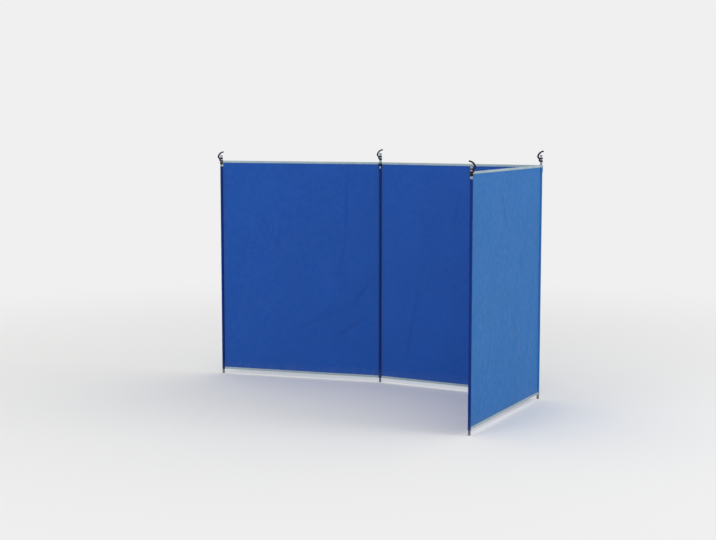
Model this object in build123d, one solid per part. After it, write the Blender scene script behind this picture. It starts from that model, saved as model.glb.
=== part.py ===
from build123d import *
import math
import os

# Beach windbreak: three bays of woven sheet between four steel poles that stand in the ground.
# The origin is the foot of the second pole, at ground level. +X runs along the middle bay, +Z is
# up, and +Y is the windward side. The two outer bays turn towards the sheltered side, -Y.
# Lengths are in millimetres and angles in degrees.

# Bays
bay_length = 1180.0          # from pole axis to pole axis
sheet_height = 1500.0
sheet_thickness = 1.0
ground_gap = 30.0            # between the ground and the lower edge of the sheet
left_turn = 12.2             # how far the left bay turns in from the line of the middle bay
right_turn = 87.2            # how far the right bay turns in from the same line

# Edge tapes, folded over the upper and lower edges of each sheet
tape_width = 15.0
tape_thickness = 0.5

# Poles: steel tube with a solid ground spike pressed into the foot, cut at ground level
pole_diameter = 16.0
pole_wall = 1.0
pole_reach = {1: 38.0, 2: 62.0, 3: 66.0, 4: 37.0}    # how far each pole stands above the sheet
pole_edge = 0.4
spike_length = 70.0
spike_clearance = 0.15

# Sleeves that slide over the poles. An end pole's sleeve is a whole tunnel. At an inner pole the
# sheet wraps the windward side, and the sleeve is a strip sewn across the sheltered side.
sleeve_clearance = 0.6
sleeve_wall = 1.1
bare_pole = 42.0             # from the upper end of a sleeve to the upper edge of the sheet
seam_gap = 0.3
wrap_clearance = 0.4         # between a stop ring and the sheet that wraps it

# Stop rings: rubber collars that grip the poles above the sleeves and keep the sheet from riding up
ring_bottom = 27.0           # how far below the upper edge of the sheet a ring starts
ring_height = 17.0
ring_wall = 2.6
ring_clearance = 0.1
ring_edge = 1.0

# Hook clips: one moulding of two bands round the pole, a spine and a hook over the pole's end
clip_clearance = 0.2
band_wall = 2.8
band_edge = 0.7
lower_band_bottom = -46.0    # heights in a clip are counted from the end of its pole
lower_band_height = 11.0
upper_band_bottom = -27.0
upper_band_height = 8.0
band_slot = 3.0
strip_width = 11.0
spine_depth = 7.5            # how far the spine stands out from the bore, above its foot
spine_foot = 3.5             # the height over which the strip thickens into the spine
hook_bottom = -42.0          # where the spine starts
hook_offset = 21.0           # from the pole's axis to the middle of the hook's shank
hook_shank_top = -16.0
hook_radius = 39.0
hook_sweep = 80.0
hook_root_thickness = 11.0
hook_tip_thickness = 9.0
hook_width = 11.0
hook_edge = 0.9
hook_bead_radius = 5.3
hook_throat_radius = 9.0     # inside the bend where the spine flares out into the shank
hook_back_radius = 12.0      # outside it, at the knee of the spine and at the heel of the hook
hook_bead_blend = 2.5
recess_wall = 2.4            # the rim left round the recess in each side of the hook
recess_depth = 2.8
recess_end = 20.0            # how far the recess stops short of the tip, in degrees
clip_turn = {1: 28.0, 2: 28.0, 3: 28.0, 4: 208.0}    # direction of each hook about its pole

pole_radius = pole_diameter / 2
bore_radius = pole_radius + clip_clearance
band_radius = bore_radius + band_wall
ring_radius = pole_radius + ring_clearance + ring_wall
sleeve_radius = pole_radius + sleeve_clearance + sleeve_wall
wrap_radius = ring_radius + wrap_clearance + sleeve_wall
seam_radius = sleeve_radius + seam_gap
corner_radius = wrap_radius + seam_gap
sheet_top = ground_gap + sheet_height
sleeve_top = sheet_top - bare_pole


def tube(outer_radius, inner_radius, bottom, height):
    """A plain ring about the Z axis."""
    ring = Circle(outer_radius) - Circle(inner_radius)
    return Pos(0, 0, bottom) * extrude(ring, height)


def pole(number):
    """One pole: a steel tube with the edge of its upper end eased."""
    body = tube(pole_radius, pole_radius - pole_wall, 0, sheet_top + pole_reach[number])
    rim = body.edges().group_by(Axis.Z)[-1].sort_by(SortBy.LENGTH)[-1]
    return chamfer(rim, pole_edge)


def ground_spike():
    """The solid rod in the foot of a pole, flush with the ground."""
    spike_radius = pole_radius - pole_wall - spike_clearance
    return extrude(Circle(spike_radius), spike_length)


def sleeve():
    """The tunnel of cloth round an end pole, open at both ends."""
    return tube(sleeve_radius, sleeve_radius - sleeve_wall, ground_gap, sleeve_top - ground_gap)


def sector(outline, start, sweep):
    """A shell turned about the Z axis, from an outline of radius and height, over part of a turn."""
    with BuildSketch(Plane.XZ) as profile:
        with BuildLine():
            Polyline(*outline, close=True)
        make_face()
    return Rot(0, 0, start) * revolve(profile.sketch, Axis.Z, sweep)


def strip_sleeve(start, sweep):
    """The strip across the sheltered side of an inner pole, from one sheet to the next."""
    inside = sleeve_radius - sleeve_wall
    outline = (
        (inside, ground_gap),
        (sleeve_radius, ground_gap),
        (sleeve_radius, sleeve_top),
        (inside, sleeve_top),
    )
    return sector(outline, start, sweep)


def sheet_wrap(start, sweep):
    """The sheet round the windward side of an inner pole, wider at the top, where it passes the ring."""
    inside = sleeve_radius - sleeve_wall
    shoulder = sleeve_top + seam_gap
    outline = (
        (inside, ground_gap),
        (sleeve_radius, ground_gap),
        (sleeve_radius, shoulder),
        (wrap_radius, shoulder),
        (wrap_radius, sheet_top),
        (wrap_radius - sleeve_wall, sheet_top),
        (wrap_radius - sleeve_wall, shoulder + sleeve_wall),
        (inside, shoulder + sleeve_wall),
    )
    return sector(outline, start, sweep)


def sheet():
    """One sheet along +X between two poles, stepped back at its upper corners round the rings."""
    with BuildSketch(Plane.XZ) as outline:
        with BuildLine():
            Polyline(
                (seam_radius, ground_gap),
                (bay_length - seam_radius, ground_gap),
                (bay_length - seam_radius, sleeve_top),
                (bay_length - corner_radius, sleeve_top),
                (bay_length - corner_radius, sheet_top),
                (corner_radius, sheet_top),
                (corner_radius, sleeve_top),
                (seam_radius, sleeve_top),
                close=True,
            )
        make_face()
    return extrude(outline.sketch, sheet_thickness / 2, both=True)


def edge_tape(start, fold, towards):
    """A tape folded over one edge of the sheet: fold is the edge's height, towards is +1 for up."""
    length = bay_length - 2 * start
    outside = sheet_thickness + 2 * tape_thickness
    middle = fold - towards * (tape_width / 2 - tape_thickness)
    channel = Pos(bay_length / 2, 0, middle) * Box(length, outside, tape_width)
    slot_middle = fold - towards * tape_width / 2
    slot = Pos(bay_length / 2, 0, slot_middle) * Box(length, sheet_thickness, tape_width)
    return channel - slot


def collar(outer_radius, inner_radius, bottom, height, broken):
    """A ring about the Z axis with its outer edges broken."""
    ring = tube(outer_radius, inner_radius, bottom, height)
    middle_radius = (outer_radius + inner_radius) / 2
    rims = ring.edges().filter_by(GeomType.CIRCLE).filter_by(lambda edge: edge.radius > middle_radius)
    return chamfer(rims, broken)


def stop_ring():
    """The rubber collar between a sleeve and the clip above it."""
    bottom = sheet_top - ring_bottom
    return collar(ring_radius, pole_radius + ring_clearance, bottom, ring_height, ring_edge)


def band(bottom, height):
    """A band of the clip round the pole."""
    return collar(band_radius, bore_radius, bottom, height, band_edge)


def hook_point(distance, angle):
    """A point of the clip's XZ plane, at a distance and angle from the middle of the hook's arc."""
    turn = math.radians(angle)
    middle_x = hook_radius - hook_offset
    return (middle_x + distance * math.cos(turn), hook_shank_top + distance * math.sin(turn))


def hook_arc(root, tip, last):
    """A tapering arc of the hook as a closed outline: half its thickness at the root and at the end."""
    half_way = (root + tip) / 2
    bend = (180 + last) / 2
    with BuildSketch(Plane.XZ) as outline:
        with BuildLine():
            ThreePointArc(
                hook_point(hook_radius + root, 180),
                hook_point(hook_radius + half_way, bend),
                hook_point(hook_radius + tip, last),
            )
            Line(hook_point(hook_radius + tip, last), hook_point(hook_radius - tip, last))
            ThreePointArc(
                hook_point(hook_radius - tip, last),
                hook_point(hook_radius - half_way, bend),
                hook_point(hook_radius - root, 180),
            )
            Line(hook_point(hook_radius - root, 180), hook_point(hook_radius + root, 180))
        make_face()
    return outline.sketch


def rounded(outline, corner, radius):
    """The outline with the corner nearest to a point of the XZ plane made round."""
    x, z = corner
    return fillet(outline.vertices().sort_by_distance((x, 0, z))[0], radius)


def hook():
    """The spine, its flared shank and the tapering arc over the pole's end, with a bead at the tip."""
    root = hook_root_thickness / 2
    strip_top = upper_band_bottom + upper_band_height
    heel = hook_point(hook_radius + root, 180)
    throat = hook_point(hook_radius - root, 180)
    knee = (-bore_radius - spine_depth, upper_band_bottom)
    with BuildSketch(Plane.XZ) as shank:
        with BuildLine():
            Polyline(
                heel,
                throat,
                (-bore_radius, strip_top),
                (-bore_radius, hook_bottom),
                (-band_radius, hook_bottom),
                (-bore_radius - spine_depth, hook_bottom + spine_foot),
                knee,
                close=True,
            )
        make_face()
    last = 180 - hook_sweep
    arc = hook_arc(root, hook_tip_thickness / 2, last)
    bead = Plane.XZ * Pos(*hook_point(hook_radius, last)) * Circle(hook_bead_radius)
    outline = rounded(shank.sketch + arc, throat, hook_throat_radius)
    outline = rounded(outline, heel, hook_back_radius)
    outline = rounded(outline, knee, hook_back_radius) + bead
    necks = outline.vertices().sort_by(Axis.X)[-2:]
    arm = extrude(fillet(necks, hook_bead_blend), hook_width / 2, both=True)
    rims = arm.faces().filter_by(Axis.Y).edges()
    arm = chamfer(rims, hook_edge)
    recess = hook_arc(root - recess_wall, hook_tip_thickness / 2 - recess_wall, last + recess_end)
    for side in (-1, 1):
        pocket = Pos(0, side * hook_width / 2, 0)
        arm -= pocket * extrude(recess, recess_depth, both=True)
    return arm


def hook_clip():
    """The clip about the Z axis, pointing to +X, with its height counted from the pole's end."""
    bands = band(lower_band_bottom, lower_band_height) + band(upper_band_bottom, upper_band_height)
    strip_height = upper_band_bottom + upper_band_height - lower_band_bottom
    middle = lower_band_bottom + strip_height / 2
    ring = tube(band_radius, bore_radius, lower_band_bottom, strip_height)
    behind = Pos(-band_radius, 0, middle) * Box(2 * band_radius, strip_width, strip_height - 2 * band_edge)
    slot = Pos(band_radius, 0, middle) * Box(band_radius, band_slot, 2 * strip_height)
    return (bands - slot) + (ring & behind) + hook()


def bay_pieces(name):
    """The sheet of one bay and its two edge tapes, along +X from the bay's first pole."""
    return {
        f"panel_{name}": sheet(),
        f"top_binding_{name}": edge_tape(corner_radius, sheet_top, 1),
        f"bottom_binding_{name}": edge_tape(seam_radius, ground_gap, -1),
    }


def post_pieces(number):
    """A pole with its spike, stop ring and clip, about the Z axis."""
    clip_place = Pos(0, 0, sheet_top + pole_reach[number]) * Rot(0, 0, clip_turn[number])
    return {
        f"pole_{number}": pole(number),
        f"ground_spike_{number}": ground_spike(),
        f"stop_ring_{number}": stop_ring(),
        f"hook_clip_{number}": clip_place * hook_clip(),
    }


def along(start, angle):
    """The point one bay away from start, in the direction given by angle."""
    turn = math.radians(angle)
    return (start[0] + bay_length * math.cos(turn), start[1] + bay_length * math.sin(turn))


post_2 = (0.0, 0.0)
post_3 = along(post_2, 0)
left_angle = 180 + left_turn
right_angle = -right_turn
post_1 = along(post_2, left_angle)
post_4 = along(post_3, right_angle)

bays = (("left", post_2, left_angle), ("middle", post_2, 0), ("right", post_3, right_angle))
pieces = {}
for bay, start, angle in bays:
    for node, solid in bay_pieces(bay).items():
        pieces[node] = Pos(*start, 0) * Rot(0, 0, angle) * solid
for number, place in ((1, post_1), (2, post_2), (3, post_3), (4, post_4)):
    for node, solid in post_pieces(number).items():
        pieces[node] = Pos(*place, 0) * solid
pieces["sleeve_1"] = Pos(*post_1, 0) * sleeve()
pieces["sleeve_2"] = Pos(*post_2, 0) * strip_sleeve(left_angle, 180 - left_turn)
pieces["sleeve_3"] = Pos(*post_3, 0) * strip_sleeve(180, 180 - right_turn)
pieces["sleeve_4"] = Pos(*post_4, 0) * sleeve()
pieces["sheet_wrap_2"] = Pos(*post_2, 0) * sheet_wrap(0, left_angle)
pieces["sheet_wrap_3"] = Pos(*post_3, 0) * sheet_wrap(right_angle, 180 + right_turn)

os.makedirs("parts", exist_ok=True)
for node, solid in pieces.items():
    export_step(solid, f"parts/{node}.step")
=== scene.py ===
"""Beach windbreak: three bays of blue woven sheet between four steel poles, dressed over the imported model.

Lengths are in metres. +X runs along the middle bay, +Z is up and +Y is the windward side.
"""

import bpy
import numpy as np
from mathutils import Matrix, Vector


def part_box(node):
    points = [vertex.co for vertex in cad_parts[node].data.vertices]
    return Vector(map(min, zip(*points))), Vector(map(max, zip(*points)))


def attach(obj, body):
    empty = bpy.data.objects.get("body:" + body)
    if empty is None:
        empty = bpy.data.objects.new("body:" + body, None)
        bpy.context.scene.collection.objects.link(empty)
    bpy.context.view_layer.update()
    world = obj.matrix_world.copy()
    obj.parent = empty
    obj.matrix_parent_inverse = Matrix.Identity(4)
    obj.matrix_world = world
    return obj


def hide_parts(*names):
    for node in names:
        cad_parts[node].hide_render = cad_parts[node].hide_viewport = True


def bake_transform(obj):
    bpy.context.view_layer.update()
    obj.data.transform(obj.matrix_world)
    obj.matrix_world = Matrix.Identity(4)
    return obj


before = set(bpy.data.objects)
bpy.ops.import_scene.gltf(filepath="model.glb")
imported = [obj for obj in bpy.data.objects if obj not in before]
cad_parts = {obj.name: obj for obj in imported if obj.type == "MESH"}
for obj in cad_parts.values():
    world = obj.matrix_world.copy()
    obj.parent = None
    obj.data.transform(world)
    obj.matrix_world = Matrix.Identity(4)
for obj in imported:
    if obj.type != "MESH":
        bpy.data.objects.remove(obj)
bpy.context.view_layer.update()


# Poles
# Four drawn steel tubes, galvanised, each with a solid spike pressed into its foot to hold it in the
# ground. The lowest part is darker grey and less metallic; the upper end is open and its rim is eased.
def linear(red, green, blue):
    """A colour as a screen shows it, 0 to 255 a channel, turned into the linear amounts of light."""
    shown = np.array([red, green, blue]) / 255
    light = np.where(shown <= 0.04045, shown / 12.92, ((shown + 0.055) / 1.055) ** 2.4)
    return (*light.tolist(), 1.0)


def put(tree, kind, joins, **settings):
    """Adds one shader node; joins gives each input a value or another node's output."""
    made = tree.nodes.new("ShaderNode" + kind)
    for name, value in settings.items():
        setattr(made, name, value)
    for key, value in joins.items():
        if isinstance(value, bpy.types.NodeSocket):
            tree.links.new(value, made.inputs[key])
        else:
            made.inputs[key].default_value = value
    return made


def reckon(tree, operation, *values):
    """The result of one sum on numbers or other nodes' outputs."""
    return put(tree, "Math", dict(enumerate(values)), operation=operation).outputs[0]


def effect(name, takes, gives):
    """Starts a shared effect: a node group with named inputs and outputs, each with its kind."""
    tree = bpy.data.node_groups.new(name, "ShaderNodeTree")
    for title, kind in takes.items():
        tree.interface.new_socket(title, in_out="INPUT", socket_type="NodeSocket" + kind)
    for title, kind in gives.items():
        tree.interface.new_socket(title, in_out="OUTPUT", socket_type="NodeSocket" + kind)
    return tree, tree.nodes.new("NodeGroupInput").outputs, tree.nodes.new("NodeGroupOutput").inputs


def between(tree, value, low, high, at_low=0.0, at_high=1.0):
    """A value eased from at_low to at_high while the input runs from low to high."""
    joins = {"Value": value, "From Min": low, "From Max": high, "To Min": at_low, "To Max": at_high}
    return put(tree, "MapRange", joins, interpolation_type="SMOOTHSTEP").outputs["Result"]


def tint(tree, amount, plain, changed):
    """One colour changed towards another by an amount from 0 to 1."""
    joins = {"Factor": amount, "A": plain, "B": changed}
    mixed = put(tree, "Mix", {}, data_type="RGBA")
    for key, value in joins.items():
        socket = [s for s in mixed.inputs if s.name == key and s.enabled][0]
        if isinstance(value, bpy.types.NodeSocket):
            tree.links.new(value, socket)
        else:
            socket.default_value = value
    return [s for s in mixed.outputs if s.enabled][0]


def relief(tree, height, depth, strength, under=None):
    """A bump of the given depth, laid over another bump if there is one."""
    joins = {"Height": height, "Distance": depth, "Strength": strength}
    if under is not None:
        joins["Normal"] = under
    return put(tree, "Bump", joins).outputs["Normal"]


def new_finish(name, roughness, **constants):
    """A material with its tree, its shader and a point's place; what is the same all over is set here."""
    made = bpy.data.materials.new(name)
    made.use_nodes = True
    tree = made.node_tree
    shader = tree.nodes["Principled BSDF"]
    shader.inputs["Roughness"].default_value = roughness
    for title, value in constants.items():
        shader.inputs[title.replace("_", " ")].default_value = value
    return made, tree, shader.inputs, put(tree, "TexCoord", {}).outputs


patches, takes, gives = effect(
    "soft patches", {"Place": "Vector", "Scale": "Float"}, {"Amount": "Float", "Fine": "Float"}
)
cloud = put(patches, "TexNoise", {"Vector": takes["Place"], "Scale": takes["Scale"], "Detail": 3.0})
finer = reckon(patches, "MULTIPLY", takes["Scale"], 9.0)
speck = put(patches, "TexNoise", {"Vector": takes["Place"], "Scale": finer, "Detail": 2.0})
patches.links.new(between(patches, cloud.outputs["Fac"], 0.3, 0.7), gives["Amount"])
patches.links.new(between(patches, speck.outputs["Fac"], 0.3, 0.7), gives["Fine"])

ground_dust, takes, gives = effect(
    "dust off the ground", {"Place": "Vector", "Reach": "Float"}, {"Amount": "Float"}
)
height = put(ground_dust, "SeparateXYZ", {0: takes["Place"]}).outputs["Z"]
splash = put(ground_dust, "TexNoise", {"Vector": takes["Place"], "Scale": 38.0, "Detail": 4.0})
ragged = reckon(ground_dust, "MULTIPLY", splash.outputs["Fac"], takes["Reach"])
over = reckon(ground_dust, "SUBTRACT", height, ragged)
fall = reckon(ground_dust, "DIVIDE", over, takes["Reach"])
ground_dust.links.new(between(ground_dust, fall, 0.55, -0.45), gives["Amount"])

pole_steel = linear(146, 156, 172)
pole_dull = linear(110, 120, 136)
pole_foot_grey = linear(100, 101, 102)
steel, tree, shader, place = new_finish("galvanised steel", 0.36, Metallic=0.9)
spangle = put(tree, "Group", {"Place": place["Object"], "Scale": 60.0}, node_tree=patches)
stretched = put(tree, "Mapping", {"Vector": place["Object"], "Scale": (420.0, 420.0, 9.0)})
drawn = put(tree, "TexNoise", {"Vector": stretched.outputs["Vector"], "Scale": 1.0, "Detail": 2.0})
# Towards the foot the colour is painted darker grey and the steel is made less metallic
pole_foot = put(tree, "Group", {"Place": place["Object"], "Reach": 0.11}, node_tree=ground_dust)
dulled = tint(tree, spangle.outputs["Amount"], pole_steel, pole_dull)
foot_darkened = between(tree, pole_foot.outputs["Amount"], 0.0, 1.0, 0.0, 0.7)
tree.links.new(tint(tree, foot_darkened, dulled, pole_foot_grey), shader["Base Color"])
tree.links.new(between(tree, spangle.outputs["Fine"], 0.0, 1.0, 0.3, 0.46), shader["Roughness"])
tree.links.new(between(tree, pole_foot.outputs["Amount"], 0.0, 1.0, 0.92, 0.6), shader["Metallic"])
tree.links.new(relief(tree, drawn.outputs["Fac"], 0.00005, 0.5), shader["Normal"])

posts = {}
for number in (1, 2, 3, 4):
    low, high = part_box(f"pole_{number}")
    posts[number] = np.array([(low.x + high.x) / 2, (low.y + high.y) / 2, 0.0])
    for node in (f"pole_{number}", f"ground_spike_{number}"):
        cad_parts[node].data.materials.clear()
        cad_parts[node].data.materials.append(steel)


# Sheets
# Three lengths of coated woven polyester, one to a bay, pulled straight between the poles. The outer face
# is painted paler, as if lit, and the inner face deeper, as if in shade. Each has a shallow belly, and soft
# creases from being rolled up, with painted shade along them.
sheet_foot = 0.030            # the lower and upper edges, above the ground
sheet_head = 1.530
sleeve_head = 1.488           # where the sleeves end and the poles are bare
cloth_thickness = 0.0005
reach_low = 0.0096            # from a pole's axis to the end of a sheet, beside a sleeve
reach_high = 0.0123           # and above the sleeve, beside a stop ring
clear_of_sleeve = 0.006       # this far above a sleeve, a sheet has room for the stop ring
belly = 0.006
settling = 0.03               # over which all of the slack dies out towards a pole
crease_fade = (0.015, 0.06)   # from a sheet's edges, where creases start and where they are full
inset = 0.0004                # from a sheet's edge to the fold of its tape
crease_full_shade = 0.002           # a crease this high takes its full painted shade
# Slow waves in the cloth: height, radians along the bay and up it, and how many times the bay's phase
slow_waves = (
    (0.0012, 9.0, 4.0, 1),
    (0.0008, 17.0, -6.0, 2),
    (0.0005, 31.0, 13.0, 3),
    (0.0003, 47.0, -29.0, 5),
)
phases = {"left": 0.4, "middle": 2.1, "right": 4.0}
# One cloth shown in two lights: the outer blue is painted light and the inner blue is painted shade
inner_blue_painted_shade = linear(14, 75, 162)
outer_blue_painted_light = linear(32, 104, 173)
worn_blue = linear(84, 128, 188)
cloth_dust = linear(136, 132, 128)
thread_pitch = 0.0006

up = np.array([0.0, 0.0, 1.0])
bays = {"left": (1, 2), "middle": (2, 3), "right": (3, 4)}
# Creases, each from one point to another of the bay, along and up, then its height and half width
creases = {
    "left": (
        (0.30, 1.16, 0.39, 0.96, 0.0018, 0.012),
        (0.42, 1.44, 0.47, 1.22, 0.0014, 0.011),
        (0.46, 1.20, 0.41, 0.82, -0.0013, 0.014),
        (0.945, 1.50, 0.93, 0.97, 0.0022, 0.013),
        (0.93, 0.97, 0.87, 0.70, 0.0016, 0.013),
        (1.13, 0.72, 1.00, 0.55, 0.0022, 0.014),
        (1.00, 0.55, 0.58, 0.35, 0.0016, 0.015),
        (1.10, 0.46, 0.86, 0.30, 0.0024, 0.015),
    ),
    "middle": (
        (0.31, 1.22, 0.38, 0.95, 0.0018, 0.012),
        (0.42, 1.13, 0.49, 0.98, -0.0015, 0.012),
        (0.30, 0.66, 0.21, 0.16, 0.0020, 0.014),
        (0.50, 0.82, 0.63, 0.63, 0.0020, 0.014),
        (0.62, 1.36, 0.55, 1.06, 0.0015, 0.014),
        (0.86, 1.30, 0.93, 0.88, 0.0016, 0.014),
        (0.98, 0.55, 1.10, 0.28, 0.0018, 0.014),
    ),
    "right": (
        (0.70, 1.42, 0.56, 1.14, 0.0022, 0.013),
        (0.82, 0.58, 0.90, 0.30, 0.0022, 0.014),
        (0.14, 1.40, 0.12, 0.95, 0.0016, 0.010),
        (0.12, 0.95, 0.17, 0.45, -0.0018, 0.010),
        (0.17, 0.45, 0.26, 0.25, 0.0018, 0.012),
        (0.40, 0.88, 0.43, 0.50, 0.0013, 0.014),
        (0.72, 0.26, 0.60, 0.17, 0.0018, 0.014),
    ),
}


def heading(bay):
    """Where a bay starts, the level direction along it, its length and its windward direction."""
    first, last = (posts[number] for number in bays[bay])
    length = np.linalg.norm(last - first)
    along = (last - first) / length
    return first, along, length, np.cross(up, along)


def eased(value, low, high):
    """0 below low, 1 above high, and 3t^2 - 2t^3 of the way t in between."""
    t = np.clip((value - low) / (high - low), 0, 1)
    return t * t * (3 - 2 * t)


def reach(z):
    """How far from a pole's axis a sheet ends: less beside the sleeve, more beside the stop ring."""
    widened = eased(z, sleeve_head - 0.004, sleeve_head + clear_of_sleeve)
    return reach_low + (reach_high - reach_low) * widened


def crease_height(bay, u, z):
    """The sum of the bay's creases.

    Each is its height times exp(-(distance to its line / half width)^2), and half a sine along its line
    makes it lower towards both ends.
    """
    total = np.zeros(np.broadcast(u, z).shape)
    for u0, z0, u1, z1, high, wide in creases[bay]:
        du, dz = u1 - u0, z1 - z0
        t = np.clip(((u - u0) * du + (z - z0) * dz) / (du * du + dz * dz), 0, 1)
        away = np.hypot(u - u0 - t * du, z - z0 - t * dz)
        total = total + high * np.sin(np.pi * (0.12 + 0.76 * t)) * np.exp(-((away / wide) ** 2))
    return total


def swell(bay, u, z):
    """How far the cloth stands to windward of its bay's plane.

    The belly is half a sine each way, on the sheltered side, and 0.3 of it is left at the tapes. The
    slow waves, of which a quarter is left there, and the creases, of which nothing is, lie on it. All of
    it dies out towards the poles, as 1 - exp(-distance / settling).
    """
    length = heading(bay)[2]
    s, t = u / length, np.clip((z - sheet_foot) / (sheet_head - sheet_foot), 0, 1)
    from_first, from_last = np.abs(u - reach_low), np.abs(length - reach_low - u)
    free = (1 - np.exp(-from_first / settling)) * (1 - np.exp(-from_last / settling))
    waves = sum(
        high * np.sin(across * s + rise * t + times * phases[bay]) for high, across, rise, times in slow_waves
    )
    held = 0.25 + 0.75 * np.sqrt(np.abs(np.sin(np.pi * t)))
    bellied = -belly * np.sin(np.pi * s) * (0.3 + 0.7 * np.sin(np.pi * t))
    start, full = crease_fade
    from_foot = eased(z, sheet_foot + start, sheet_foot + full)
    from_head = 1 - eased(z, sheet_head - full, sheet_head - start)
    return free * (bellied + held * waves + from_foot * from_head * crease_height(bay, u, z))


def on_bay(bay, u, z, proud=0.0):
    """Points of a bay: u along it, z up, and proud to windward of the middle of its cloth."""
    first, along, _, windward = heading(bay)
    u, z = np.broadcast_arrays(u, z)
    out = swell(bay, u, z) + proud
    return first + u[..., None] * along + out[..., None] * windward + z[..., None] * up


def skin(name, points, flat, materials, ring=False):
    """A mesh from a grid of points (m, n, 3), with flat its places on the cloth (m, n, 2).

    A face joins four neighbours. A ring closes each row on itself, and flat then has one more column.
    A ring also gets a cap on its first row and another on its last.
    """
    m, n = points.shape[:2]
    index = np.arange(m * n).reshape(m, n)
    wide = np.concatenate([index, index[:, :1]], 1) if ring else index
    flat_index = np.arange(m * wide.shape[1]).reshape(m, -1)

    def corners(grid):
        return np.stack([grid[:-1, :-1], grid[:-1, 1:], grid[1:, 1:], grid[1:, :-1]], -1).reshape(-1, 4)

    faces = corners(wide).tolist()
    places = flat.reshape(-1, 2)[corners(flat_index).ravel()]
    if ring:
        faces += [index[0][::-1].tolist(), index[-1].tolist()]
        places = np.concatenate([places, flat[0, :n][::-1], flat[-1, :n]])
    mesh = bpy.data.meshes.new(name)
    mesh.from_pydata(points.reshape(-1, 3).tolist(), [], faces)
    mesh.uv_layers.new(name="cloth").data.foreach_set("uv", np.ascontiguousarray(places, np.float32).ravel())
    mesh.polygons.foreach_set("use_smooth", np.ones(len(faces), bool))
    for material in materials:
        mesh.materials.append(material)
    mesh.update()
    piece = bpy.data.objects.new(name, mesh)
    bpy.context.scene.collection.objects.link(piece)
    return piece


def thicken(piece, second_material=0):
    """Gives a skin its wall, half to each side; the side that its faces point away from may differ."""
    wall = piece.modifiers.new("wall", "SOLIDIFY")
    wall.thickness = cloth_thickness
    wall.offset = 0
    wall.material_offset = second_material
    return piece


weave, takes, gives = effect(
    "plain weave", {"Place": "Vector", "Pitch": "Float"}, {"Height": "Float", "Thread": "Float"}
)
turns = reckon(weave, "DIVIDE", 2 * np.pi, takes["Pitch"])
parts = put(weave, "SeparateXYZ", {0: takes["Place"]}).outputs
threads = [reckon(weave, "COSINE", reckon(weave, "MULTIPLY", parts[axis], turns)) for axis in ("X", "Y")]
crossing = reckon(weave, "MULTIPLY", *threads)
weave.links.new(between(weave, crossing, -1.0, 1.0), gives["Height"])
slub = put(weave, "Mapping", {"Vector": takes["Place"], "Scale": (900.0, 40.0, 1.0)})
uneven = put(weave, "TexNoise", {"Vector": slub.outputs["Vector"], "Scale": 1.0, "Detail": 1.0})
weave.links.new(between(weave, uneven.outputs["Fac"], 0.25, 0.75), gives["Thread"])


def cloth(name, colour, worn, dusty, gloss=0.2, sheen=0.04):
    """Woven cloth: threads in relief, slight clouding, painted shade along creases, dusty near the ground."""
    made, tree, shader, place = new_finish(
        name, 0.68, Specular_IOR_Level=gloss, Sheen_Weight=sheen, Sheen_Roughness=0.45
    )
    threads = put(tree, "Group", {"Place": place["UV"], "Pitch": thread_pitch}, node_tree=weave)
    clouds = put(tree, "Group", {"Place": place["Object"], "Scale": 3.2}, node_tree=patches)
    crumple = put(tree, "TexNoise", {"Vector": place["Object"], "Scale": 14.0, "Detail": 2.5})
    soil = put(tree, "Group", {"Place": place["Object"], "Reach": 0.12}, node_tree=ground_dust)
    painted_crease_shade = put(tree, "Attribute", {}, attribute_name="painted_crease_shade").outputs["Fac"]
    darker = tuple(0.9 * channel for channel in colour[:3]) + (1.0,)
    # Painted shade along the creases: up to 0.3 of the way to a deeper blue
    crease_shade_colour = tuple(0.72 * channel for channel in colour[:3]) + (1.0,)
    clouded = tint(tree, between(tree, clouds.outputs["Amount"], 0.0, 1.0, 0.0, 0.45), colour, darker)
    slubbed = tint(tree, between(tree, threads.outputs["Thread"], 0.0, 1.0, 0.0, 0.06), clouded, worn)
    folded = tint(tree, between(tree, painted_crease_shade, 0.0, 1.0, 0.0, 0.3), slubbed, crease_shade_colour)
    dusted = between(tree, soil.outputs["Amount"], 0.0, 1.0, 0.0, dusty)
    tree.links.new(tint(tree, dusted, folded, cloth_dust), shader["Base Color"])
    tree.links.new(between(tree, clouds.outputs["Fine"], 0.0, 1.0, 0.62, 0.76), shader["Roughness"])
    soft = relief(tree, crumple.outputs["Fac"], 0.0025, 0.3)
    tree.links.new(relief(tree, threads.outputs["Height"], 0.00012, 0.5, soft), shader["Normal"])
    return made


lit_outer_cloth = cloth("sheet, outer face, painted light", outer_blue_painted_light, worn_blue, 0.08)
shaded_inner_cloth = cloth("sheet, inner face, painted shade", inner_blue_painted_shade, worn_blue, 0.08)

columns, rows = 150, 176      # points along a sheet and up it
for bay in bays:
    length = heading(bay)[2]
    s = np.linspace(0, 1, columns)[None, :]
    z = np.linspace(sheet_foot + inset, sheet_head - inset, rows)[:, None]
    u = reach(z) + s * (length - 2 * reach(z))
    z = np.broadcast_to(z, u.shape)
    piece = skin(f"sheet_{bay}", on_bay(bay, u, z), np.stack([u, z], -1), [shaded_inner_cloth, lit_outer_cloth])
    # How deep each point lies in a crease, which sets how much painted shade it takes
    depth = np.clip(np.abs(crease_height(bay, u, z)) / crease_full_shade, 0, 1)
    painted_crease_shade = piece.data.attributes.new("painted_crease_shade", "FLOAT", "POINT")
    painted_crease_shade.data.foreach_set("value", np.ascontiguousarray(depth, np.float32).ravel())
    thicken(piece, second_material=1)
    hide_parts(f"panel_{bay}")
    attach(piece, f"{bay}_bay")


# Hems
# Each end of a sheet is folded over once, on the sheltered side, so that the seams that hold the
# sleeves go through two layers.
hem_width = 0.013
hem_thickness = 0.0005
hem_round = 0.0002
hem_sunk = 0.0002             # how deep a hem sits in the sheet's face, and how far from its end
hem_short = 0.0008            # how far it stops from the sheet's upper and lower edges
face = cloth_thickness / 2    # from the middle of the cloth to its face
hem_blue = linear(30, 76, 150)

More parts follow.
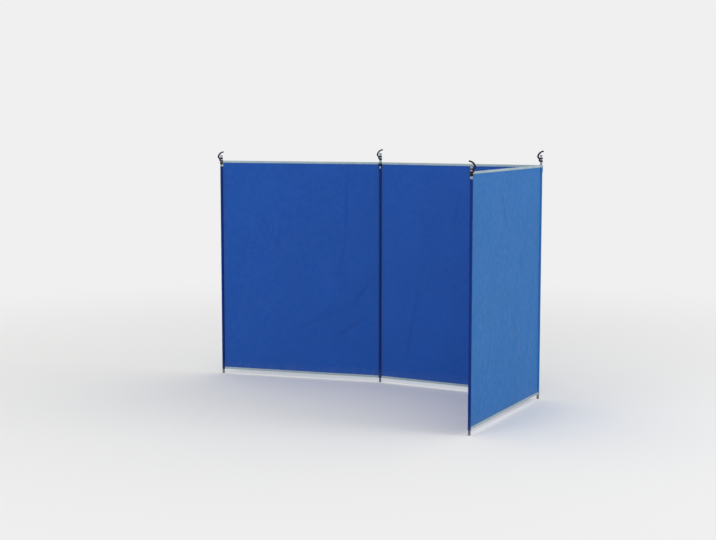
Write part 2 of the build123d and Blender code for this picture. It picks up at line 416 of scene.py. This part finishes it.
hem_cloth = cloth("hem, folded over", hem_blue, worn_blue, 0.08)


def flat_outline(width, low, high, edge):
    """A flat strip's outline, anticlockwise: along it from 0 to width, up from low to high."""
    across = np.array([0, width / 4, width / 2, 3 * width / 4, width - edge, width, width, width - edge])
    across = np.concatenate([across, [3 * width / 4, width / 2, width / 4, 0]])
    over = np.array([low] * 5 + [low + edge, high - edge] + [high] * 5)
    return across, over


for bay, ends in bays.items():
    length = heading(bay)[2]
    for number, direction in zip(ends, (1, -1)):
        across, over = flat_outline(hem_width, face - hem_sunk, face + hem_thickness, hem_round)
        z = np.linspace(sheet_foot + hem_short, sheet_head - hem_short, rows)[:, None]
        inward = reach(z) + hem_sunk + across[None, :]
        u = inward if direction > 0 else length - inward
        z = np.broadcast_to(z, u.shape)
        points = on_bay(bay, u, z, -over[None, :])
        order = slice(None, None, -direction)
        flat = np.stack([u, z], -1)[:, order]
        flat = np.concatenate([flat, flat[:, :1]], 1)
        piece = skin(f"hem_{bay}_{number}", points[:, order], flat, [hem_cloth], ring=True)
        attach(piece, f"{bay}_bay")


# Edge tapes
# A light grey ribbed tape, folded over the upper and lower edges of each sheet and sewn through with
# two rows of stitches. It keeps the edges from stretching.
tape_width = 0.0148
tape_wall = 0.0005
tape_gap = 0.0007             # from the middle of the cloth to the middle of a leg of the tape
tape_over_hem = 0.0005        # how much further out the tape lies where it covers a hem
tape_step = 0.004             # over which it comes down from the hem
tape_short = 0.0003           # from the end of a sheet to the end of its tape
rib_pitch = 0.0011
tape_grey = linear(168, 187, 193)
tape_shade = linear(128, 149, 162)
tape_soil = linear(146, 147, 140)

ribbed, tree, shader, place = new_finish("ribbed edge tape", 0.7, Specular_IOR_Level=0.3)
parts = put(tree, "SeparateXYZ", {0: place["UV"]}).outputs
ribs = reckon(tree, "MULTIPLY", parts["X"], np.pi / rib_pitch)
rib = reckon(tree, "ABSOLUTE", reckon(tree, "SINE", ribs))
clouds = put(tree, "Group", {"Place": place["Object"], "Scale": 14.0}, node_tree=patches)
soil = put(tree, "Group", {"Place": place["Object"], "Reach": 0.09}, node_tree=ground_dust)
# Painted shade in the valleys between the ribs
rib_valley_shade = between(tree, rib, 0.55, 0.0, 0.0, 0.5)
shaded = tint(tree, rib_valley_shade, tape_grey, tape_shade)
uneven = tint(tree, between(tree, clouds.outputs["Amount"], 0.0, 1.0, 0.0, 0.3), shaded, tape_shade)
soiled = between(tree, soil.outputs["Amount"], 0.0, 1.0, 0.0, 0.25)
tree.links.new(tint(tree, soiled, uneven, tape_soil), shader["Base Color"])
tree.links.new(between(tree, clouds.outputs["Fine"], 0.0, 1.0, 0.62, 0.78), shader["Roughness"])
tree.links.new(relief(tree, rib, 0.00025, 0.8), shader["Normal"])


def folded_outline(gap, wall, width):
    """A tape's outline as it is folded: down one leg, round the fold and back, at half a wall out and in.

    The middle of the tape goes up at -gap, round half a circle of radius gap, and down at +gap.
    """
    turn = np.linspace(np.pi, 0, 9)
    leg = np.array([width, 0.6 * width, 0.25 * width])
    across = np.concatenate([-gap * np.ones(3), gap * np.cos(turn), gap * np.ones(3)])
    under = np.concatenate([leg, gap - gap * np.sin(turn), leg[::-1]])
    sideways = np.concatenate([-np.ones(3), np.cos(turn), np.ones(3)])
    upward = np.concatenate([np.zeros(3), np.sin(turn), np.zeros(3)])
    half = wall / 2
    outside = np.stack([across + half * sideways, under - half * upward], -1)
    inside = np.stack([across - half * sideways, under + half * upward], -1)
    return np.concatenate([outside, inside[::-1]])


def run_length(points):
    """Distance along a closed outline, from its first point and back to it."""
    steps = np.linalg.norm(np.diff(np.concatenate([points, points[:1]]), axis=0), axis=-1)
    return np.concatenate([[0], np.cumsum(steps)])


outline = folded_outline(tape_gap, tape_wall, tape_width)
# The height of each edge, and 1 where its tape's legs point down from it or -1 where they point up
edges = {"top": (sheet_head, 1), "bottom": (sheet_foot, -1)}


def tape(name, points, along, turned):
    """A tape from its outline's points at each place along it; turned makes its faces point outwards."""
    flat = np.stack(np.broadcast_arrays(along, run_length(outline)[None, :]), -1)
    if turned:
        points, flat = points[:, ::-1], flat[:, ::-1]
    piece = skin(name, points, flat, [ribbed], ring=True)
    return piece


for bay in bays:
    length = heading(bay)[2]
    for edge, (level, down) in edges.items():
        end = reach(level) + tape_short
        u = np.linspace(end, length - end, columns)[:, None]
        from_end = np.minimum(u - end, length - end - u)
        over_hem = tape_over_hem * (1 - eased(from_end, hem_width, hem_width + tape_step))
        proud = outline[None, :, 0] - np.where(outline[None, :, 0] < 0, over_hem, 0)
        points = on_bay(bay, u, level - down * outline[None, :, 1], proud)
        piece = tape(f"tape_{edge}_{bay}", points, u, turned=down < 0)
        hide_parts(f"{edge}_binding_{bay}")
        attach(piece, f"{bay}_bay")


# Sleeves
# Navy strips sewn into tunnels that slide over the poles. An end pole's strip goes all the way round.
# At an inner pole the sheet itself goes round the windward side, and the strip closes the other.
sleeve_radius = 0.0089
sleeve_hem = 0.012
sleeve_hem_proud = 0.00025    # how much further out a sleeve's own hem lies
sleeve_flare = 0.0011         # how far a sleeve rises from the pole at its seams
collar_radius = 0.0118        # the middle of the cloth where it passes outside a stop ring
seam_turn = np.radians(7)     # over which cloth round a pole rises to its seam
sleeve_navy = linear(3, 44, 118)
sleeve_worn = linear(56, 80, 128)

navy_cloth = cloth("sleeve, navy", sleeve_navy, sleeve_worn, 0.12, gloss=0.1, sheen=0.02)
full_turn = 2 * np.pi


def facing(number, other):
    """The angle, turning about +Z from +X, at which one pole faces another."""
    away = posts[other] - posts[number]
    return np.arctan2(away[1], away[0])


# The two seams at each pole, towards the next bay and towards the last one
seam_angles = {
    1: (facing(1, 2), facing(1, 2)),
    2: (facing(2, 3), facing(2, 1)),
    3: (facing(3, 4), facing(3, 2)),
    4: (facing(4, 3), facing(4, 3)),
}


def follow(piece, number):
    """Cloth round an end pole moves with that bay; cloth round an inner pole stays where it is placed, its
    placement baked into its mesh.
    """
    if number in (1, 4):
        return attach(piece, {1: "left_bay", 4: "right_bay"}[number])
    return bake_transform(piece)


def round_pole(number, turns, z, share, radius, flare):
    """Points of cloth round a pole: share runs from 0 to 1 over its turns, a first angle and a sweep.

    The radius grows at both seams by flare * exp(-turn / seam_turn), where the cloth leaves the pole
    for the face of the sheet.
    """
    first, sweep = turns
    turn = share * sweep
    lift = flare * (np.exp(-turn / seam_turn) + np.exp(-(sweep - turn) / seam_turn))
    distance = radius + lift
    angle = first + turn
    level = np.broadcast_to(z, distance.shape)
    ring = np.stack([distance * np.cos(angle), distance * np.sin(angle), level], -1)
    return posts[number] + ring


def sleeve_bulge(number, z, share):
    """The sleeve's own slack: long shallow ripples up the pole, and a thicker hem at each end."""
    step = 0.001
    lower, upper = sheet_foot + sleeve_hem, sleeve_head - sleeve_hem
    in_lower = 1 - eased(z, lower - step, lower + step)
    hemmed = np.maximum(in_lower, eased(z, upper - step, upper + step))
    ripple = 0.00012 * np.sin(43 * z + 7 * share + number)
    ripple = ripple + 0.0001 * np.sin(101 * z - 11 * share + 2 * number)
    return sleeve_hem_proud * hemmed + ripple * (1 - hemmed)


def pole_cloth(name, number, turns, top, radius_at, flare, material, around=40, steps=130):
    """A skin of cloth round part of a pole, from the sheet's lower edge to top."""
    z = np.linspace(sheet_foot + cloth_thickness, top, steps)[:, None]
    share = np.linspace(0, 1, around)[None, :]
    points = round_pole(number, turns, z, share, radius_at(z, share), flare)
    flat = np.stack(np.broadcast_arrays(share * turns[1] * sleeve_radius, z), -1)
    return thicken(skin(name, points, flat, [material]))


# Where each sleeve starts round its pole, and its sweep: all the way where both seams are at one angle
sleeve_turns = {}
for number in posts:
    onward, back = seam_angles[number]
    sleeve_turns[number] = (back, (onward - back) % full_turn or full_turn)
    piece = pole_cloth(
        f"sleeve_cloth_{number}",
        number,
        sleeve_turns[number],
        sleeve_head,
        lambda z, share: sleeve_radius + sleeve_bulge(number, z, share),
        sleeve_flare,
        navy_cloth,
    )
    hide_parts(f"sleeve_{number}")
    follow(piece, number)


# Sheet round the inner poles
# The same cloth as the sheets, carried round the windward side of the pole from one bay to the next.
# It widens above the sleeve to go round the stop ring. The edge tapes go with it.
wrap_flare = 0.0030           # how far the cloth and the tape on it rise from the pole at the seams
tape_flare = 0.0022


def wrap_radius(z):
    """The sleeve's radius up to its end, then eased out to the radius that clears the stop ring."""
    widened = eased(z, sleeve_head - 0.008, sleeve_head + clear_of_sleeve)
    return sleeve_radius + (collar_radius - sleeve_radius) * widened


wrap_turns = {}
round_tapes = {}
for number in (2, 3):
    onward, back = seam_angles[number]
    sweep = (back - onward) % full_turn
    wrap_turns[number] = onward, sweep
    piece = pole_cloth(
        f"sheet_round_{number}",
        number,
        wrap_turns[number],
        sheet_head - inset,
        lambda z, share: wrap_radius(z),
        wrap_flare,
        lit_outer_cloth,
        around=56,
    )
    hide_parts(f"sheet_wrap_{number}")
    follow(piece, number)
    round_tapes[number] = [piece]
    for edge, (level, down) in edges.items():
        share = np.linspace(0, 1, 48)[:, None]
        radius = wrap_radius(level) + outline[None, :, 0]
        z = level - down * outline[None, :, 1]
        points = round_pole(number, wrap_turns[number], z, share, radius, tape_flare)
        along = share * sweep * collar_radius
        piece = tape(f"tape_round_{edge}_{number}", points, along, turned=down > 0)
        follow(piece, number)
        round_tapes[number].append(piece)


# Stitches
# Two rows of grey thread along each tape, two rows of blue up each end of a sheet, through the hem, and
# one round each end of a sleeve. Every stitch is a short bar that dips into the cloth at both ends.
stitch_pitch = 0.0042
stitch_length = 0.0034
stitch_width = 0.0007
stitch_height = 0.00028
tape_rows = (0.0035, 0.0115)  # from the edge of the sheet to each row along a tape
hem_row = 0.0095              # from each end of a sleeve to the row in its hem
seam_rows = (0.0034, 0.0105)  # from the end of a sheet to each row up its hem
row_start = 0.003             # from the end of a sheet to the first stitch along its tape
on_tape = tape_gap + tape_wall / 2


def thread(name, pale, shade):
    """Twisted thread: two shades of one colour, with its ply in relief."""
    made, tree, shader, place = new_finish(name, 0.6, Specular_IOR_Level=0.3)
    ply = put(tree, "TexNoise", {"Vector": place["Object"], "Scale": 2600.0, "Detail": 1.0}).outputs["Fac"]
    tree.links.new(tint(tree, between(tree, ply, 0.45, 0.75), pale, shade), shader["Base Color"])
    tree.links.new(between(tree, ply, 0.3, 0.7, 0.5, 0.7), shader["Roughness"])
    tree.links.new(relief(tree, ply, 0.0001, 0.6), shader["Normal"])
    return made


grey_thread = thread("grey thread", linear(176, 186, 192), linear(120, 134, 150))
blue_thread = thread("blue thread", linear(52, 84, 142), linear(28, 52, 104))

# A stitch one long, one wide and one high: four-sided, and drawn to a point at both ends
bar = np.array(
    [[-0.5, 0, -0.4]]
    + [[x, y, h] for x in (-0.28, 0.28) for y, h in ((0.5, 0), (0, 1), (-0.5, 0), (0, -0.8))]
    + [[0.5, 0, -0.4]]
)
bar_ends = [[0, 1 + k, 1 + (k + 1) % 4] for k in range(4)] + [[9, 5 + (k + 1) % 4, 5 + k] for k in range(4)]
bar_sides = [[1 + k, 5 + k, 5 + (k + 1) % 4, 1 + (k + 1) % 4] for k in range(4)]


def sew(name, finish, sewn_rows):
    """One mesh of many stitches. Each row gives their middles, and the way each lies and stands out."""
    middles, ahead, outward = (np.concatenate(kind) for kind in zip(*sewn_rows))
    side = np.cross(outward, ahead)
    axes = np.stack([ahead * stitch_length, side * stitch_width, outward * stitch_height], 1)
    points = middles[:, None] + bar @ axes
    first = (np.arange(len(middles)) * len(bar))[:, None, None]
    faces = []
    for kind in (bar_ends, bar_sides):
        faces += (first + np.array(kind)).reshape(-1, len(kind[0])).tolist()
    mesh = bpy.data.meshes.new(name)
    mesh.from_pydata(points.reshape(-1, 3).tolist(), [], faces)
    mesh.polygons.foreach_set("use_smooth", np.ones(len(faces), bool))
    mesh.materials.append(finish)
    piece = bpy.data.objects.new(name, mesh)
    bpy.context.scene.collection.objects.link(piece)
    return piece


def row_direction(middles):
    """The unit direction in which a row of stitches runs, at each of them."""
    ahead = np.gradient(middles, axis=0)
    return ahead / np.linalg.norm(ahead, axis=1, keepdims=True)


def row_on_bay(bay, u, z, side, over):
    """A row of stitches on one face of a bay, at a distance over from the middle of its cloth."""
    middles = on_bay(bay, u, z, side * over)
    return middles, row_direction(middles), np.broadcast_to(side * heading(bay)[3], middles.shape)


def row_round(number, turns, level, radius, flare, side=1):
    """A row of stitches round a pole at one height, evenly spread over its sweep."""
    count = int(turns[1] * radius / stitch_pitch)
    share = (np.arange(count)[:, None] + 0.5) / count
    middles = round_pole(number, turns, level, share, radius, flare)[:, 0]
    ahead = row_direction(middles)
    return middles, ahead, side * np.cross(ahead, up)


for number in posts:
    radius = sleeve_radius + sleeve_hem_proud + face
    rows_round = [
        row_round(number, sleeve_turns[number], level, radius, sleeve_flare)
        for level in (sleeve_head - hem_row, sheet_foot + hem_row)
    ]
    piece = sew(f"sleeve_stitches_{number}", blue_thread, rows_round)
    follow(piece, number)
for number in wrap_turns:
    wrap, *on_wrap = round_tapes[number]
    for edge, (level, down) in edges.items():
        rows_round = []
        for under in tape_rows:
            for side in (-1, 1):
                radius = wrap_radius(level) + side * on_tape
                height = level - down * under
                rows_round.append(row_round(number, wrap_turns[number], height, radius, tape_flare, side))
        piece = sew(f"round_stitches_{edge}_{number}", grey_thread, rows_round)
        follow(piece, number)
        on_wrap.append(piece)

for bay, ends in bays.items():
    length = heading(bay)[2]
    along_tapes = []
    up_seams = []
    for level, down in edges.values():
        end = reach(level) + row_start
        u = np.arange(end, length - end, stitch_pitch)
        for under in tape_rows:
            z = np.full(u.shape, level - down * under)
            away = np.minimum(u - end, length - end - u) + row_start - tape_short
            over_hem = tape_over_hem * (1 - eased(away, hem_width, hem_width + tape_step))
            for side in (-1, 1):
                over = on_tape + (over_hem if side < 0 else 0)
                along_tapes.append(row_on_bay(bay, u, z, side, over))
    clear = tape_width + 0.002        # the rows up a hem end short of the tapes
    z = np.arange(sheet_foot + clear, sheet_head - clear, stitch_pitch)
    for inward in seam_rows:
        for direction in (1, -1):
            u = reach(z) + inward
            u = u if direction > 0 else length - u
            for side in (-1, 1):
                up_seams.append(row_on_bay(bay, u, z, side, face + (hem_thickness if side < 0 else 0)))
    sewn = [
        sew(f"tape_stitches_{bay}", grey_thread, along_tapes),
        sew(f"seam_stitches_{bay}", blue_thread, up_seams),
    ]
    for piece in sewn:
        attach(piece, f"{bay}_bay")


# Stop rings
# A black rubber collar grips each pole above its sleeve and keeps the sheet from riding up. Handling
# has left it a little dusty, and a fine parting line goes round the middle.
rubber_black = linear(19, 20, 21)
rubber_dusty = linear(54, 53, 50)
parting_width = 0.0006
ring_edge = 0.0003            # the radius of its moulded edges
same_point = 0.00001          # points of a node's mesh nearer than this are one
sharp_from = np.radians(28)   # an edge that turns by more than this is rounded
rubber, tree, shader, place = new_finish("black rubber", 0.75, Specular_IOR_Level=0.2)
smudge = put(tree, "Group", {"Place": place["Object"], "Scale": 120.0}, node_tree=patches)
powder = between(tree, smudge.outputs["Amount"], 0.35, 1.0, 0.0, 0.45)
tree.links.new(tint(tree, powder, rubber_black, rubber_dusty), shader["Base Color"])
tree.links.new(between(tree, smudge.outputs["Fine"], 0.0, 1.0, 0.66, 0.84), shader["Roughness"])
level = put(tree, "SeparateXYZ", {0: place["Object"]}).outputs["Z"]
low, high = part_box("stop_ring_1")
off_line = reckon(tree, "ABSOLUTE", reckon(tree, "SUBTRACT", level, (low.z + high.z) / 2))
line = between(tree, off_line, parting_width, 0.0)
pitted = put(tree, "TexNoise", {"Vector": place["Object"], "Scale": 900.0, "Detail": 2.0}).outputs["Fac"]
skin_relief = relief(tree, pitted, 0.00005, 0.5)
tree.links.new(relief(tree, line, 0.00025, 0.8, skin_relief), shader["Normal"])


def finished(node, material, edge):
    """Gives a moulded node its material, and rounds its sharp edges by a small radius."""
    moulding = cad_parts[node]
    moulding.data.materials.clear()
    moulding.data.materials.append(material)
    joined = moulding.modifiers.new("joined", "WELD")
    joined.merge_threshold = same_point
    eased_edge = moulding.modifiers.new("eased", "BEVEL")
    eased_edge.width = edge
    eased_edge.segments = 2
    eased_edge.limit_method = "ANGLE"
    eased_edge.angle_limit = sharp_from


for number in posts:
    finished(f"stop_ring_{number}", rubber, ring_edge)


# Hook clips
# One black nylon moulding to each pole: two bands round the tube, and a hook over its open end that a
# guy line drops into. The mould's grain shows, and scattered spots are rubbed a little paler.
clip_black = linear(10, 10, 11)
clip_rubbed = linear(34, 35, 38)
clip_edge = 0.0003
nylon, tree, shader, place = new_finish("black nylon", 0.5, Specular_IOR_Level=0.2)
grain = put(tree, "TexNoise", {"Vector": place["Object"], "Scale": 1400.0, "Detail": 2.0}).outputs["Fac"]
scuffs = put(tree, "Group", {"Place": place["Object"], "Scale": 90.0}, node_tree=patches)
marks = between(tree, scuffs.outputs["Fine"], 0.68, 0.98, 0.0, 0.4)
tree.links.new(tint(tree, marks, clip_black, clip_rubbed), shader["Base Color"])
tree.links.new(between(tree, scuffs.outputs["Amount"], 0.0, 1.0, 0.42, 0.58), shader["Roughness"])
tree.links.new(relief(tree, grain, 0.00006, 0.5), shader["Normal"])
for number in posts:
    finished(f"hook_clip_{number}", nylon, clip_edge)


# Floor, light and camera
# A pale studio floor that fades into a white background, soft light all round with one broad lamp to
# windward and one in front, and the camera where the photograph was taken from.
background = 0.87             # how bright the eye sees it
surround = 0.74               # how strongly it lights the object
floor_pale = linear(247, 247, 246)
floor_reach = 90.0
lit_middle = np.array([0.25, -0.4, 0.8])


def white_to_the_eye(tree, seen, lit):
    """One shader for what the camera, a gloss or glass sees, and another for what lights the object."""
    path = put(tree, "LightPath", {}).outputs
    eye = reckon(tree, "MAXIMUM", path["Is Camera Ray"], path["Is Glossy Ray"])
    eye = reckon(tree, "MAXIMUM", eye, path["Is Transmission Ray"])
    return put(tree, "MixShader", {0: eye, 1: lit, 2: seen}).outputs[0]


world = bpy.data.worlds.new("studio")
world.use_nodes = True
tree = world.node_tree
tree.nodes.clear()
seen = put(tree, "Background", {"Color": (background,) * 3 + (1.0,), "Strength": 1.0}).outputs[0]
lit = put(tree, "Background", {"Color": (1.0, 1.0, 1.0, 1.0), "Strength": surround}).outputs[0]
tree.links.new(white_to_the_eye(tree, seen, lit), put(tree, "OutputWorld", {}).inputs["Surface"])
bpy.context.scene.world = world

floor_finish, tree, shader, place = new_finish("studio floor", 0.9)
shader["Base Color"].default_value = floor_pale
away = put(tree, "VectorMath", {0: place["Object"]}, operation="LENGTH").outputs["Value"]
fade = between(tree, away, 1.5, 6.5)
glow = put(tree, "Emission", {"Color": (background,) * 3 + (1.0,), "Strength": 1.0}).outputs[0]
matt = tree.nodes["Principled BSDF"].outputs[0]
both = put(tree, "MixShader", {0: fade, 1: matt, 2: glow}).outputs[0]
tree.links.new(both, tree.nodes["Material Output"].inputs["Surface"])
corners = [(x * floor_reach, y * floor_reach, 0) for x, y in ((-1, -1), (1, -1), (1, 1), (-1, 1))]
floor = bpy.data.meshes.new("floor")
floor.from_pydata(corners, [], [(0, 1, 2, 3)])
floor.materials.append(floor_finish)
floor = bpy.data.objects.new("floor", floor)
bpy.context.scene.collection.objects.link(floor)


def lamp(name, towards, distance, size, strength):
    """A square soft lamp; at strength 1 it alone would show a face turned to it in its own colour.

    Light falls off as the square of the distance, so the power is strength times pi^2 distance^2.
    """
    light = bpy.data.lights.new(name, "AREA")
    light.size = size
    light.energy = strength * np.pi**2 * distance**2
    holder = bpy.data.objects.new(name, light)
    direction = np.array(towards) / np.linalg.norm(towards)
    holder.location = lit_middle + direction * distance
    aim = -direction
    yaw = np.arctan2(-aim[0], aim[1])
    pitch = np.arctan2(aim[2], np.hypot(aim[0], aim[1]))
    holder.rotation_euler = (np.pi / 2 + pitch, 0, yaw)
    bpy.context.scene.collection.objects.link(holder)


lamp("windward lamp", (0.95, 0.15, 0.36), 10.0, 5.0, 0.25)
lamp("front lamp", (-0.25, -0.9, 0.2), 12.0, 6.0, 0.22)

# Its lens, place and pitch are those at which the four poles stand as in the photograph
eye = bpy.data.cameras.new("camera")
eye.lens = 69.9
eye.sensor_width = 36.0
camera = bpy.data.objects.new("camera", eye)
camera.location = (4.600, -8.383, 1.842)
camera.rotation_euler = (np.pi / 2 - 0.110, 0, 0.518)
bpy.context.scene.collection.objects.link(camera)
bpy.context.scene.camera = camera
bpy.context.scene.view_settings.view_transform = "Standard"
